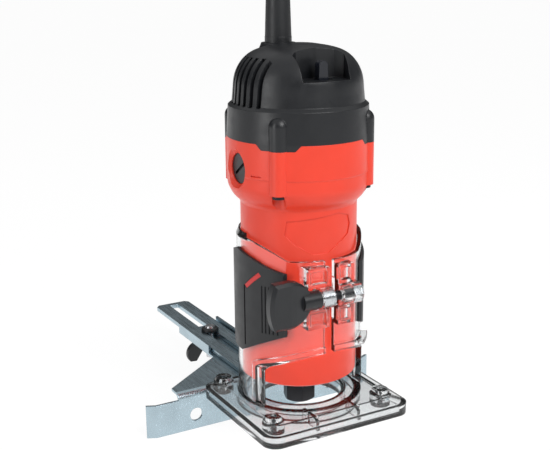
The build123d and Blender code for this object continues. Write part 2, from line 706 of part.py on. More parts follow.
    # Screw bores: the clamp's ferrule and nut, the arm's insert, and the sole's screws.
    with BuildSketch(Plane.YZ.offset(-12)):
        with Locations((CLAMP_Y, CLAMP_Z)):
            Circle(4.02)
    extrude(amount=9, mode=Mode.SUBTRACT)
    with BuildSketch(Plane.YZ.offset(0)):
        with Locations((CLAMP_Y, CLAMP_Z)):
            Circle(2.7)
    extrude(amount=20, mode=Mode.SUBTRACT)
    with BuildSketch(Plane.YZ.offset(8)):
        with Locations((CLAMP_Y, CLAMP_Z)):
            RegularPolygon(4.02, 6, major_radius=False)
    extrude(amount=10, mode=Mode.SUBTRACT)
    with BuildSketch(Plane.XZ.offset(-36)):
        with Locations((0, ARM_SCREW_Z)):
            Circle(4.02)
    extrude(amount=5, mode=Mode.SUBTRACT)
    with BuildSketch(Plane.XY.offset(0)):
        for x, y in SOLE_SCREWS:
            with Locations((x, y)):
                Circle(1.6)
    extrude(amount=20, mode=Mode.SUBTRACT)
clear_base.part.label = "clear_base"
export_step(clear_base.part, "parts/clear_base.step")

with BuildPart() as sole_plate:
    with BuildSketch(Plane.XY):
        with Locations((0, SOLE_CENTRE_Y)):
            RectangleRounded(SOLE_WIDTH, SOLE_DEPTH, 8)
        Circle(OPENING_R, mode=Mode.SUBTRACT)
        for x, y in SOLE_SCREWS:
            with Locations((x, y)):
                Circle(1.8, mode=Mode.SUBTRACT)
    extrude(amount=SOLE_T)
    for x, y in SOLE_SCREWS:
        with Locations((x, y, 0.6)):
            Cone(3.4, 1.8, 1.2, mode=Mode.SUBTRACT)
sole_plate.part.label = "sole_plate"
export_step(sole_plate.part, "parts/sole_plate.step")

with BuildPart() as sole_screws:
    for x, y in SOLE_SCREWS:
        with Locations((x, y, 0.75)):
            Cone(3.2, 1.57, 1.2)
        with Locations((x, y, 5.6)):
            Cylinder(1.57, 9)
sole_screws.part.label = "sole_screws"
export_step(sole_screws.part, "parts/sole_screws.step")


def grip_pad(side):
    """The moulded rubber pad on one side of the sleeve: side is -1 on the left, 1 on the right."""
    with BuildPart() as pad:
        with BuildSketch(Plane.XY.offset(38)):
            Circle(PAD_R + PAD_T)
            Circle(PAD_R, mode=Mode.SUBTRACT)
        extrude(amount=60)
        with BuildSketch(Plane.YZ.offset(side * 20)):
            Polygon(
                (-26, 51.6), (-26, 86.3), (-9.4, 92.3), (5, 95.4), (26, 88), (26, 44), (18, 38.4),
                (0, 38.4),
                align=None,
            )
        extrude(amount=side * 22, mode=Mode.INTERSECT)
        # The long groove, the fine ribs and the inlay's bed.
        with Locations((side * (PAD_R + PAD_T), -3.3, 59.5)):
            Box(1.6, 1.2, 34, mode=Mode.SUBTRACT)
        for number in range(5):
            rib_y = -16 - 1.9 * number
            with Locations((side * sqrt((PAD_R + PAD_T) ** 2 - rib_y**2), rib_y, 65.5)):
                Box(1, 0.7, 26, mode=Mode.SUBTRACT)
        add(accent(side, 0.04, 1.0), mode=Mode.SUBTRACT)
    return pad.part


def accent(side, margin=0.0, rise=-0.15):
    """The slanted inlay of a grip pad, or the bed that it sits in: grown by margin, and higher."""
    with BuildPart() as inlay:
        with BuildSketch(Plane.XY.offset(70)):
            Circle(PAD_R + PAD_T + rise)
            Circle(PAD_R + 0.6 - margin, mode=Mode.SUBTRACT)
        extrude(amount=20)
        with BuildSketch(Plane.YZ.offset(side * 20)):
            Polygon((-3.4, 76.5), (-14, 85.6), (-15.6, 83.8), (-5.4, 75), align=None)
            offset(amount=margin)
        extrude(amount=side * 22, mode=Mode.INTERSECT)
    return inlay.part


left_grip_pad, right_grip_pad = grip_pad(-1), grip_pad(1)
left_grip_pad.label, right_grip_pad.label = "left_grip_pad", "right_grip_pad"
export_step(left_grip_pad, "parts/left_grip_pad.step")
export_step(right_grip_pad, "parts/right_grip_pad.step")

with BuildPart() as grip_inlays:
    for side in (-1, 1):
        add(accent(side))
grip_inlays.part.label = "grip_inlays"
export_step(grip_inlays.part, "parts/grip_inlays.step")

with BuildPart() as clamp_ferrule:
    with BuildSketch(Plane.YZ.offset(-11.3)):
        with Locations((CLAMP_Y, CLAMP_Z)):
            Circle(4)
            Circle(2.5 + FIT, mode=Mode.SUBTRACT)
    extrude(amount=7.6)
clamp_ferrule.part.label = "clamp_ferrule"
export_step(clamp_ferrule.part, "parts/clamp_ferrule.step")

with BuildPart() as clamp_nut:
    with BuildSketch(Plane.YZ.offset(8.1)):
        with Locations((CLAMP_Y, CLAMP_Z)):
            RegularPolygon(4, 6, major_radius=False)
            Circle(2.5 + FIT, mode=Mode.SUBTRACT)
    extrude(amount=5)
clamp_nut.part.label = "clamp_nut"
export_step(clamp_nut.part, "parts/clamp_nut.step")

with BuildPart() as clamp_screw:
    with BuildSketch(Plane.YZ.offset(-17)):
        with Locations((CLAMP_Y, CLAMP_Z)):
            Circle(2.5)
    extrude(amount=31)
clamp_screw.part.label = "clamp_screw"
export_step(clamp_screw.part, "parts/clamp_screw.step")

# The thumb paddle: a D in outline, thick along its spine and thin at its rim.
with BuildPart() as clamp_paddle:
    with BuildSketch(Plane.XZ.offset(-CLAMP_Y - 3.6)):
        with BuildLine():
            Polyline((-38.5, CLAMP_Z - 12.3), (-31, CLAMP_Z - 12.6))
            ThreePointArc((-31, CLAMP_Z - 12.6), (-20, CLAMP_Z - 8), (-16.4, CLAMP_Z))
            ThreePointArc((-16.4, CLAMP_Z), (-20, CLAMP_Z + 8), (-31, CLAMP_Z + 12.6))
            Polyline((-31, CLAMP_Z + 12.6), (-38.5, CLAMP_Z + 12.3))
            ThreePointArc((-38.5, CLAMP_Z + 12.3), (-41.2, CLAMP_Z), (-38.5, CLAMP_Z - 12.3))
        make_face()
    extrude(amount=7.2)
    # Its front face slopes back from the middle to the right-hand rim.
    with BuildSketch(Plane.XY.offset(CLAMP_Z - 20)):
        Polygon(
            (-28, CLAMP_Y - 3.6), (-12, CLAMP_Y - 1.2), (-12, CLAMP_Y - 5), (-28, CLAMP_Y - 5),
            align=None,
        )
    extrude(amount=40, mode=Mode.SUBTRACT)
    chamfer(clamp_paddle.faces().sort_by(Axis.Y)[0].edges(), 1.6)
    chamfer(clamp_paddle.faces().sort_by(Axis.Y)[-1].edges(), 1.6)
    with BuildSketch(Plane.YZ.offset(-22)):
        with Locations((CLAMP_Y, CLAMP_Z)):
            Circle(4.9)
    extrude(amount=10.4)
    with BuildSketch(Plane.YZ.offset(-17)):
        with Locations((CLAMP_Y, CLAMP_Z)):
            Circle(2.52)
    extrude(amount=8, mode=Mode.SUBTRACT)
clamp_paddle.part.label = "clamp_paddle"
export_step(clamp_paddle.part, "parts/clamp_paddle.step")

# ---------------------------------------------------------------- straight guide

with BuildPart() as guide_arm:
    with BuildSketch(Plane.XY.offset(ARM_BOTTOM)):
        with BuildLine():
            Polyline(
                (ARM_HALF, ARM_START), (-ARM_HALF, ARM_START), (-ARM_HALF, ARM_END - ARM_CORNER),
                (ARM_CORNER - ARM_HALF, ARM_END), (ARM_HALF - ARM_CORNER, ARM_END),
                (ARM_HALF, ARM_END - ARM_CORNER),
                close=True,
            )
        make_face()
        with Locations((0, (SLOT_START + SLOT_END) / 2)):
            RectangleRounded(2 * SLOT_HALF, SLOT_END - SLOT_START, 0.9, mode=Mode.SUBTRACT)
    extrude(amount=ARM_T)
    with BuildSketch(Plane.XZ.offset(-ARM_START)):
        with Locations((0, (ARM_BOTTOM + ARM_T + 21) / 2)):
            Rectangle(20, 21 - ARM_BOTTOM - ARM_T)
        with Locations((0, ARM_SCREW_Z)):
            Circle(2.8, mode=Mode.SUBTRACT)
    extrude(amount=-ARM_T)
guide_arm.part.label = "guide_arm"
export_step(guide_arm.part, "parts/guide_arm.step")

with BuildPart() as arm_insert:
    with BuildSketch(Plane.XZ.offset(-32.4)):
        with Locations((0, ARM_SCREW_Z)):
            Circle(4)
            Circle(2.5 + FIT, mode=Mode.SUBTRACT)
    extrude(amount=-3.2)
arm_insert.part.label = "arm_insert"
export_step(arm_insert.part, "parts/arm_insert.step")

with BuildPart() as arm_knob:
    with BuildSketch(Plane.XZ.offset(-32.6)):
        with Locations((0, ARM_SCREW_Z)):
            Circle(2.5)
    extrude(amount=-11)
    with BuildSketch(Plane.XZ.offset(-(ARM_START + ARM_T + GAP))):
        with Locations((0, ARM_SCREW_Z)):
            Circle(5.6)
    extrude(amount=-3)
    with BuildSketch(Plane.XZ.offset(-(ARM_START + ARM_T + GAP + 3))):
        with Locations((0, ARM_SCREW_Z)):
            Circle(8.4)
            with PolarLocations(9.4, 9):
                Circle(1.9, mode=Mode.SUBTRACT)
    extrude(amount=-8)
    fillet(arm_knob.faces().sort_by(Axis.Y)[-1].edges(), 1.0)
arm_knob.part.label = "arm_knob"
export_step(arm_knob.part, "parts/arm_knob.step")

with BuildPart() as guide_plate:
    with BuildSketch(Plane.XY.offset(-SHEET_T)):
        bend_y = FENCE_Y + FENCE_BEND_R
        Polygon(
            (-WEB_HALF, bend_y), (WEB_HALF, bend_y), (WEB_HALF, 51), (14.6, 82), (14.6, 135),
            (-14.6, 135), (-14.6, 82), (-WEB_HALF, 51),
            align=None,
        )
        with Locations((0, GUIDE_BOLT_Y)):
            Circle(GUIDE_BOLT_R + 0.15, mode=Mode.SUBTRACT)
    extrude(amount=SHEET_T)
    for side in (-1, 1):
        with Locations((side * 13.85, 112, 2.4)):
            Box(SHEET_T, 46, 5.4)
    with BuildSketch(Plane.YZ.offset(-WEB_HALF)):
        with BuildLine():
            CenterArc((bend_y, -FENCE_BEND_R), FENCE_BEND_R, 90, 90)
            CenterArc((bend_y, -FENCE_BEND_R), FENCE_BEND_R - SHEET_T, 90, 90)
            Line((bend_y, 0), (bend_y, -SHEET_T))
            Line((FENCE_Y, -FENCE_BEND_R), (FENCE_Y + SHEET_T, -FENCE_BEND_R))
        make_face()
    extrude(amount=2 * WEB_HALF)
    with BuildSketch(Plane.XY.offset(FENCE_BOTTOM)):
        Polygon(
            (-FENCE_FLAT_HALF, FENCE_Y), (FENCE_FLAT_HALF, FENCE_Y), (FENCE_HALF, FENCE_Y + 2.6),
            (FENCE_HALF - 0.6, FENCE_Y + 4), (FENCE_FLAT_HALF - 0.3, FENCE_Y + SHEET_T),
            (0.3 - FENCE_FLAT_HALF, FENCE_Y + SHEET_T), (0.6 - FENCE_HALF, FENCE_Y + 4),
            (-FENCE_HALF, FENCE_Y + 2.6),
            align=None,
        )
    extrude(amount=FENCE_TOP - FENCE_BOTTOM)
    with BuildSketch(Plane.XZ.offset(-FENCE_Y - 5)):
        with Locations((-FENCE_HOLE_X, FENCE_HOLE_Z), (FENCE_HOLE_X, FENCE_HOLE_Z)):
            Circle(FENCE_HOLE_R)
    extrude(amount=10, mode=Mode.SUBTRACT)
guide_plate.part.label = "guide_plate"
export_step(guide_plate.part, "parts/guide_plate.step")

arm_top = ARM_BOTTOM + ARM_T
with BuildPart() as guide_bolt:
    with BuildSketch(Plane.XY.offset(-15)):
        with Locations((0, GUIDE_BOLT_Y)):
            Circle(GUIDE_BOLT_R)
    extrude(amount=arm_top + GAP + 2.4 + 15)
    with BuildSketch(Plane.XY.offset(arm_top + GAP + 2.4)):
        with Locations((0, GUIDE_BOLT_Y)):
            Circle(3.4)
    extrude(amount=1.2, taper=25)
guide_bolt.part.label = "guide_bolt"
export_step(guide_bolt.part, "parts/guide_bolt.step")

with BuildPart() as guide_washer:
    with BuildSketch(Plane.XY.offset(arm_top + GAP)):
        with Locations((0, GUIDE_BOLT_Y)):
            Circle(5.8)
    extrude(amount=2.38)
    fillet(guide_washer.faces().sort_by(Axis.Z)[-1].edges(), 1.6)
    with BuildSketch(Plane.XY.offset(arm_top)):
        with Locations((0, GUIDE_BOLT_Y)):
            Circle(GUIDE_BOLT_R + 0.02)
    extrude(amount=4, mode=Mode.SUBTRACT)
guide_washer.part.label = "guide_washer"
export_step(guide_washer.part, "parts/guide_washer.step")

with BuildPart() as wing_nut:
    with BuildSketch(Plane.XY.offset(-8.6)):
        with Locations((0, GUIDE_BOLT_Y)):
            Circle(6)
    extrude(amount=8.6 - SHEET_T - GAP)
    with BuildSketch(Plane.XZ.offset(1.6 - GUIDE_BOLT_Y)):
        with BuildLine():
            Polyline((-4, -2.6), (4, -2.6), (10, -3))
            ThreePointArc((10, -3), (17, -8.6), (15.4, -15.4))
            Polyline((15.4, -15.4), (11, -15.7), (6.2, -8.6), (-6.2, -8.6), (-11, -15.7), (-15.4, -15.4))
            ThreePointArc((-15.4, -15.4), (-17, -8.6), (-10, -3))
            Line((-10, -3), (-4, -2.6))
        make_face()
    extrude(amount=-3.2)
    with BuildSketch(Plane.XY.offset(-20)):
        with Locations((0, GUIDE_BOLT_Y)):
            Circle(GUIDE_BOLT_R + FIT)
    extrude(amount=20, mode=Mode.SUBTRACT)
wing_nut.part.label = "wing_nut"
export_step(wing_nut.part, "parts/wing_nut.step")

# ---------------------------------------------------------------- mains cord

# From the guard the cord rises, turns over away from the base, and hangs down.
LEAD_ROUTE = (
    (18.08, -10.69, GUARD_TOP),
    (18.08, -10.69, 271),
    (25.9, -10.8, 293.5),
    (43.6, -11.1, 308.5),
    (66.5, -11.5, 312),
    (87.8, -11.9, 303.5),
    (102, -12.2, 285),
    (108.8, -12.5, 259.5),
    (110.6, -13, 214),
    (110, -17, 150),
    (109.4, -22.5, 92),
    (109.2, -26, 56),
)
# It turns along the floor into the hank's top layer.
TAIL_ROUTE = (
    (109.2, -27.2, 45.6),
    (109.2, -28.7, 22.4),
    (121.8, -29.3, 2.9),
    (143, -29.5, -6.5),
    (161, -29.5, -6.5),
)


def cord_tube(route, name):
    """A tube of straight runs joined by arcs as large as the runs allow. Prints its radii."""
    points = [Vector(*routed(*stop)) for stop in route]
    runs = [b - a for a, b in zip(points, points[1:])]
    radii = []
    for before, after in zip(runs, runs[1:]):
        turn = radians(before.get_angle(after))
        radii.append(0.45 * min(before.length, after.length) / tan(turn / 2))
    with BuildPart() as tube:
        with BuildLine() as path:
            FilletPolyline(*points, radius=radii)
        with BuildSketch(Plane(points[0], z_dir=runs[0])):
            Circle(CORD_R)
        sweep(path=path.wires()[0])
    length = path.wires()[0].length
    share = tube.part.volume / (pi * CORD_R**2 * length)
    print(name, "length", round(length, 1), "volume share", round(share, 4))
    print(name, "radii", [round(r) for r in radii], "runs", [round(r.length) for r in runs])
    return tube.part, length


cord_lead, lead_length = cord_tube(LEAD_ROUTE, "cord_lead")
cord_lead.label = "cord_lead"
export_step(cord_lead, "parts/cord_lead.step")
cord_tail, tail_length = cord_tube(TAIL_ROUTE, "cord_tail")
cord_tail.label = "cord_tail"
export_step(cord_tail, "parts/cord_tail.step")

hank_plane = Plane(
    routed(HANK_AWAY, HANK_SIDE, FLOOR_Z),
    x_dir=Vector(*routed(1, 0, 0)),
    z_dir=(0, 0, 1),
)
hank_height = 2 * CORD_R * HANK_LAYERS
with BuildPart() as cord_hank:
    with BuildSketch(hank_plane):
        SlotCenterToCenter(HANK_STRAIGHT, 2 * (HANK_OUTER + CORD_R))
        SlotCenterToCenter(HANK_STRAIGHT, 2 * (HANK_INNER - CORD_R), mode=Mode.SUBTRACT)
    extrude(amount=hank_height)
    # Where the tail comes down into the top layer.
    with BuildSketch(hank_plane.offset(hank_height - 2 * CORD_R - 0.4)):
        with Locations((-36, HANK_OUTER + 1)):
            Rectangle(50, 12)
    extrude(amount=12, mode=Mode.SUBTRACT)
cord_hank.part.label = "cord_hank"
export_step(cord_hank.part, "parts/cord_hank.step")
turns = HANK_LAYERS * (4 * HANK_STRAIGHT + 2 * pi * (HANK_INNER + HANK_OUTER))
print("cord length", round(lead_length + tail_length + turns))

# The plug lies on top of the hank, over its right-hand turns, with its pins towards the base.
plug_plane = Plane(
    routed(HANK_AWAY - 30, HANK_SIDE + HANK_INNER, FLOOR_Z + hank_height + 7.2),
    x_dir=(0, 0, 1),
    z_dir=Vector(*routed(1, 0, 0)),
)
with BuildPart() as plug_body:
    with BuildSketch(plug_plane):
        RectangleRounded(14, 24, 6)
    extrude(amount=24)
    with BuildSketch(plug_plane.offset(24)):
        RectangleRounded(14, 24, 6)
    with BuildSketch(plug_plane.offset(36)):
        Circle(5.2)
    loft()
    with BuildSketch(plug_plane.offset(36)):
        Circle(5.2)
    extrude(amount=12, taper=4)
plug_body.part.label = "plug_body"
export_step(plug_body.part, "parts/plug_body.step")

with BuildPart() as plug_pins:
    with BuildSketch(plug_plane):
        with Locations((0, 9.3), (0, -9.3)):
            Circle(2)
    extrude(amount=-19)
plug_pins.part.label = "plug_pins"
export_step(plug_pins.part, "parts/plug_pins.step")
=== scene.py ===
"""The looks of the trim router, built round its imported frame. Metres, in the frame's own axes."""

from math import cos, pi, radians, sin, sqrt

import bpy
from mathutils import Matrix, Vector


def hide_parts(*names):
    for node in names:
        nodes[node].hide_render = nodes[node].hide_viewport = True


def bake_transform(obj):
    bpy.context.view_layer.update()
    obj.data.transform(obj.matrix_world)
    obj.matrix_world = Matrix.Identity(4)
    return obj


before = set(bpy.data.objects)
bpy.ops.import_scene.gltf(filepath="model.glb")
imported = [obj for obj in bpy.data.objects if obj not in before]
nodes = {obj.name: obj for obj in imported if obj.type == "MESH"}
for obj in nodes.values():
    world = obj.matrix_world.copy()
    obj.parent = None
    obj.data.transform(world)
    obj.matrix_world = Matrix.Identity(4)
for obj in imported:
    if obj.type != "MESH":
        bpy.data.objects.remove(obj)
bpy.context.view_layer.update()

MM = 0.001
FLOOR_Z = -24 * MM
EDGE = 0.45 * MM  # how far a moulded or broken edge is rounded in the shading


# ---------------------------------------------------------------- camera

CAMERA_HEADING = radians(30.6)  # the camera stands this far to the left of the front
CAMERA_DISTANCE, CAMERA_HEIGHT = 0.527, 0.2459
YAW, PITCH, ROLL = radians(-1.40), radians(15.11), radians(-0.52)
LENS, SENSOR_WIDTH = 65.45, 36  # in millimetres, as on a real camera


def make_camera():
    """A camera on the heading above, turned by yaw, tipped down by pitch, and rolled."""
    data = bpy.data.cameras.new("camera")
    data.lens, data.sensor_width = LENS, SENSOR_WIDTH
    data.clip_start, data.clip_end = 0.01, 50
    camera = bpy.data.objects.new("camera", data)
    heading = CAMERA_HEADING + YAW
    forward = Vector((sin(heading) * cos(PITCH), cos(heading) * cos(PITCH), -sin(PITCH)))
    level = Vector((cos(heading), -sin(heading), 0))
    above = level.cross(forward)
    right = level * cos(ROLL) + above * sin(ROLL)
    up = above * cos(ROLL) - level * sin(ROLL)
    turn = Matrix((right, up, -forward)).transposed().to_4x4()
    place = Vector((-sin(CAMERA_HEADING), -cos(CAMERA_HEADING), 0)) * CAMERA_DISTANCE
    place.z = CAMERA_HEIGHT
    camera.matrix_world = Matrix.Translation(place) @ turn
    bpy.context.scene.collection.objects.link(camera)
    bpy.context.scene.camera = camera


# ---------------------------------------------------------------- mains cord

CORD_R = 3.5
CORD_HEADING = radians(30.6)  # the cord leads straight away from the camera
# Points of the route, in millimetres: away from the spindle, to the right, and height.
ROUTE = (
    (18.08, -10.69, 248),
    (18.08, -10.69, 271),
    (25.9, -10.8, 293.5),
    (43.6, -11.1, 308.5),
    (66.5, -11.5, 312),
    (87.8, -11.9, 303.5),
    (102, -12.2, 285),
    (108.8, -12.5, 259.5),
    (110.6, -13, 214),
    (110, -17, 150),
    (109.4, -22.5, 92),
    (109.2, -26, 56),
    (109.2, -28.7, 22.4),
    (121.8, -29.3, 2.9),
    (143, -29.5, -6.5),
    (161, -29.5, -6.5),
)
# The tied hank beyond it: its middle, its straights, and the radii and heights of its layers.
HANK_AWAY, HANK_SIDE, HANK_STRAIGHT = 172, 2, 35
HANK_OUTER, HANK_INNER, TOP_Z, BOTTOM_Z = 31.5, 24.5, -6.5, -20.5
PLUG_Z = 4.2
ARC_STEPS, STRAIGHT_STEPS = 8, 3
TURN_STEPS = 2 * (ARC_STEPS + STRAIGHT_STEPS)


def routed(away, side, height):
    """A point of the cord's route in the frame's axes, in metres."""
    a = CORD_HEADING
    return MM * Vector((away * sin(a) + side * cos(a), away * cos(a) - side * sin(a), height))


def racetrack(step, radius):
    """Away and side of one step round the hank, from the near end of its left straight."""
    half, step = divmod(step % TURN_STEPS, ARC_STEPS + STRAIGHT_STEPS)
    sign = -1 if half else 1
    if step < STRAIGHT_STEPS:
        along, across = HANK_STRAIGHT * (step / STRAIGHT_STEPS - 0.5), -radius
    else:
        a = pi * (step - STRAIGHT_STEPS) / ARC_STEPS
        along, across = HANK_STRAIGHT / 2 + radius * sin(a), -radius * cos(a)
    return HANK_AWAY + sign * along, HANK_SIDE + sign * across


def hank_place(turns):
    """Radius and height of the winding after that many turns: down outside, in, and up inside."""
    layer = 2 * CORD_R
    part = turns % 1
    rolled = sqrt(1 - (1 - part) ** 2)
    if turns < 2:
        return HANK_OUTER, TOP_Z - layer * turns
    if turns < 3:
        return HANK_OUTER - layer * rolled, BOTTOM_Z
    climbed = int(turns) - 3 + sqrt(1 - (1 - rolled) ** 2)
    if turns < 5:
        return HANK_INNER, BOTTOM_Z + layer * climbed
    return HANK_INNER, TOP_Z + (PLUG_Z - TOP_Z) * min(1, 2 * part)


def cord_route():
    """The route's control points, from the guard to the plug."""
    points = [routed(*stop) for stop in ROUTE]
    last = 5 * TURN_STEPS + ARC_STEPS + STRAIGHT_STEPS
    for step in range(2, last + 1):
        radius, height = hank_place(step / TURN_STEPS)
        away, side = racetrack(step, radius)
        points.append(routed(away, side, height))
    return points


def smooth_line(points):
    """Points along the smooth spline that the given control points pull."""
    data = bpy.data.curves.new("route", "CURVE")
    data.dimensions = "3D"
    data.resolution_u = 8
    spline = data.splines.new("NURBS")
    spline.points.add(len(points) - 1)
    for spot, point in zip(spline.points, points):
        spot.co = (*point, 1)
    spline.order_u = 3
    spline.use_endpoint_u = True
    holder = bpy.data.objects.new("route", data)
    bpy.context.scene.collection.objects.link(holder)
    bpy.context.view_layer.update()
    mesh = bpy.data.meshes.new_from_object(holder)
    line = [v.co.copy() for v in mesh.vertices]
    bpy.data.objects.remove(holder)
    bpy.data.meshes.remove(mesh)
    return line


def tube(name, line, radius, sides=20):
    """A mesh tube along a line, closed at both ends."""
    tangents = []
    for i in range(len(line)):
        tangents.append((line[min(i + 1, len(line) - 1)] - line[max(i - 1, 0)]).normalized())
    across = tangents[0].orthogonal().normalized()
    points, faces = [], []
    for spot, tangent in zip(line, tangents):
        across = (across - tangent * across.dot(tangent)).normalized()
        other = tangent.cross(across)
        for k in range(sides):
            a = 2 * pi * k / sides
            points.append(spot + radius * (cos(a) * across + sin(a) * other))
    for ring in range(len(line) - 1):
        for k in range(sides):
            a, b = ring * sides + k, ring * sides + (k + 1) % sides
            faces.append((a, b, b + sides, a + sides))
    faces.append(tuple(reversed(range(sides))))
    faces.append(tuple(range(len(points) - sides, len(points))))
    return add_mesh(name, points, faces)


def add_mesh(name, points, faces):
    """A smooth-shaded mesh object, sharp only at its edges."""
    mesh = bpy.data.meshes.new(name)
    mesh.from_pydata([tuple(p) for p in points], [], faces)
    mesh.update()
    mesh.shade_smooth()
    mesh.set_sharp_from_angle(angle=radians(35))
    piece = bpy.data.objects.new(name, mesh)
    bpy.context.scene.collection.objects.link(piece)
    return piece


def make_cord():
    """The mains cord as one tube, which stretches between the motor unit and the floor."""
    line = smooth_line(cord_route())
    length = sum((b - a).length for a, b in zip(line, line[1:]))
    cord = tube("mains_cord", line, CORD_R * MM)
    cord.data.materials.append(MATERIALS["cord"])
    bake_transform(cord)
    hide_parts("cord_lead", "cord_tail", "cord_hank")
    print("cord length", round(length, 3), "points", len(line))


# ---------------------------------------------------------------- materials


class Finish:
    """A material made of one Principled shader and the nodes that drive it."""

    def __init__(self, name, colour, roughness, edge=EDGE, **sockets):
        self.material = bpy.data.materials.new(name)
        self.material.use_nodes = True
        self.tree = self.material.node_tree
        self.shader = self.tree.nodes["Principled BSDF"]
        self.colour = colour
        self.set("Base Color", (*colour, 1))
        self.set("Roughness", roughness)
        for socket, value in sockets.items():
            self.set(socket.replace("_", " "), value)
        self.place = self.node("ShaderNodeTexCoord").outputs["Object"]
        self.normal = self.node("ShaderNodeBevel", Radius=edge).outputs["Normal"]
        self.feed(self.shader.inputs["Normal"], self.normal)

    def set(self, socket, value):
        """Sets one of the shader's own sockets."""
        self.shader.inputs[socket].default_value = value

    def node(self, kind, **inputs):
        """A new node, with its inputs fed."""
        made = self.tree.nodes.new(kind)
        for socket, value in inputs.items():
            self.feed(made.inputs[socket.replace("_", " ")], value)
        return made

    def feed(self, socket, value):
        """Links an output to the socket, or sets its value."""
        if isinstance(value, bpy.types.NodeSocket):
            self.tree.links.new(value, socket)
        else:
            socket.default_value = value

    def scaled(self, scale):
        """The surface's own place, stretched by a scale for each axis."""
        mapping = self.node("ShaderNodeMapping", Vector=self.place, Scale=scale)
        return mapping.outputs["Vector"]

    def noise(self, scale, detail=2.0, roughness=0.5, place=None):
        """Noise of that scale on the surface."""
        place = place or self.place
        made = self.node("ShaderNodeTexNoise", Vector=place, Scale=scale, Detail=detail)
        made.inputs["Roughness"].default_value = roughness
        return made.outputs["Fac"]

    def spread(self, value, low, high, start=0.3, end=0.7):
        """The value's range from start to end, mapped to low to high."""
        made = self.node("ShaderNodeMapRange", Value=value)
        limits = (("From Min", start), ("From Max", end), ("To Min", low), ("To Max", high))
        for socket, number in limits:
            made.inputs[socket].default_value = number
        return made.outputs["Result"]

    def tint(self, value, darker, lighter):
        """Colour variation between two multiples of the base colour."""
        ramp = self.node("ShaderNodeValToRGB", Fac=value)
        for stop, factor, place in zip(ramp.color_ramp.elements, (darker, lighter), (0.3, 0.7)):
            stop.position = place
            stop.color = (*[min(1, c * factor) for c in self.colour], 1)
        self.feed(self.shader.inputs["Base Color"], ramp.outputs["Color"])

    def bump(self, value, depth, strength=1.0):
        """Adds a relief of that depth in millimetres."""
        made = self.node("ShaderNodeBump", Height=value, Normal=self.normal)
        made.inputs["Distance"].default_value = depth * MM
        made.inputs["Strength"].default_value = strength
        self.normal = made.outputs["Normal"]
        self.feed(self.shader.inputs["Normal"], self.normal)

    def rough(self, value, low, high):
        """Uneven gloss, from low to high roughness."""
        self.feed(self.shader.inputs["Roughness"], self.spread(value, low, high))


def moulded(name, colour, roughness, grain=1400, depth=0.02, patch=0.06, **sockets):
    """Moulded plastic: spark-eroded grain, a little mottling, and uneven gloss."""
    finish = Finish(name, colour, roughness, **sockets)
    broad = finish.noise(45, 3)
    finish.tint(broad, 1 - patch, 1 + patch)
    finish.rough(finish.noise(160, 4), roughness - 0.05, roughness + 0.07)
    finish.bump(finish.noise(grain, 3, 0.6), depth)
    return finish.material


def metal(name, colour, roughness, stretch, depth=0.004):
    """Metal with a drawn or turned grain, which runs along the least scaled axis."""
    finish = Finish(name, colour, roughness, Metallic=1.0)
    grain = finish.noise(1, 5, 0.65, finish.scaled(stretch))
    finish.tint(finish.noise(60, 3), 0.9, 1.08)
    finish.rough(grain, roughness - 0.07, roughness + 0.1)
    finish.bump(grain, depth)
    return finish.material


def clear_plastic():
    """Water-clear polycarbonate, which lets lamps through."""
    finish = Finish(
        "clear_plastic", (0.93, 0.945, 0.95), 0.03, 0.7 * MM, IOR=1.56, Transmission_Weight=1.0
    )
    finish.bump(finish.noise(70, 2), 0.03, 0.35)
    tree = finish.tree
    path = tree.nodes.new("ShaderNodeLightPath")
    through = tree.nodes.new("ShaderNodeBsdfTransparent")
    through.inputs["Color"].default_value = (0.93, 0.94, 0.95, 1)
    mix = tree.nodes.new("ShaderNodeMixShader")
    tree.links.new(path.outputs["Is Shadow Ray"], mix.inputs["Fac"])
    tree.links.new(finish.shader.outputs["BSDF"], mix.inputs[1])
    tree.links.new(through.outputs["BSDF"], mix.inputs[2])
    tree.links.new(mix.outputs["Shader"], tree.nodes["Material Output"].inputs["Surface"])
    return finish.material


def make_materials():
    """Every finish of the router, by the name that FINISHES uses."""
    return {
        "red": moulded("red_plastic", (0.86, 0.052, 0.022), 0.34, patch=0.04),
        "black": moulded("black_plastic", (0.008, 0.009, 0.011), 0.36, grain=1700, depth=0.03),
        "paddle": moulded("paddle_plastic", (0.009, 0.01, 0.012), 0.36, grain=1100, depth=0.06),
        "gloss": moulded("gloss_black", (0.008, 0.01, 0.016), 0.1, depth=0.003),
        "rubber": moulded("grip_rubber", (0.009, 0.01, 0.012), 0.44, grain=2200),
        "cord": moulded("cord_jacket", (0.011, 0.011, 0.013), 0.4, grain=1500, depth=0.012),
        "inlay": moulded("red_inlay", (0.62, 0.03, 0.03), 0.3, depth=0.005),
        "clear": clear_plastic(),
        "zinc": metal("blue_zinc", (0.44, 0.55, 0.61), 0.27, (700, 50, 700), 0.002),
        "steel": metal("bright_steel", (0.64, 0.65, 0.67), 0.24, (500, 500, 60)),
        "dark_steel": metal("black_oxide", (0.035, 0.035, 0.038), 0.36, (500, 500, 60)),
        "core": metal("laminated_steel", (0.36, 0.37, 0.39), 0.4, (60, 60, 2400), 0.02),
        "copper": metal("enamelled_copper", (0.72, 0.33, 0.16), 0.3, (300, 300, 2600), 0.05),
        "brass": metal("brass", (0.78, 0.62, 0.30), 0.26, (500, 500, 60)),
        "carbon": moulded("carbon", (0.03, 0.03, 0.032), 0.6),
    }


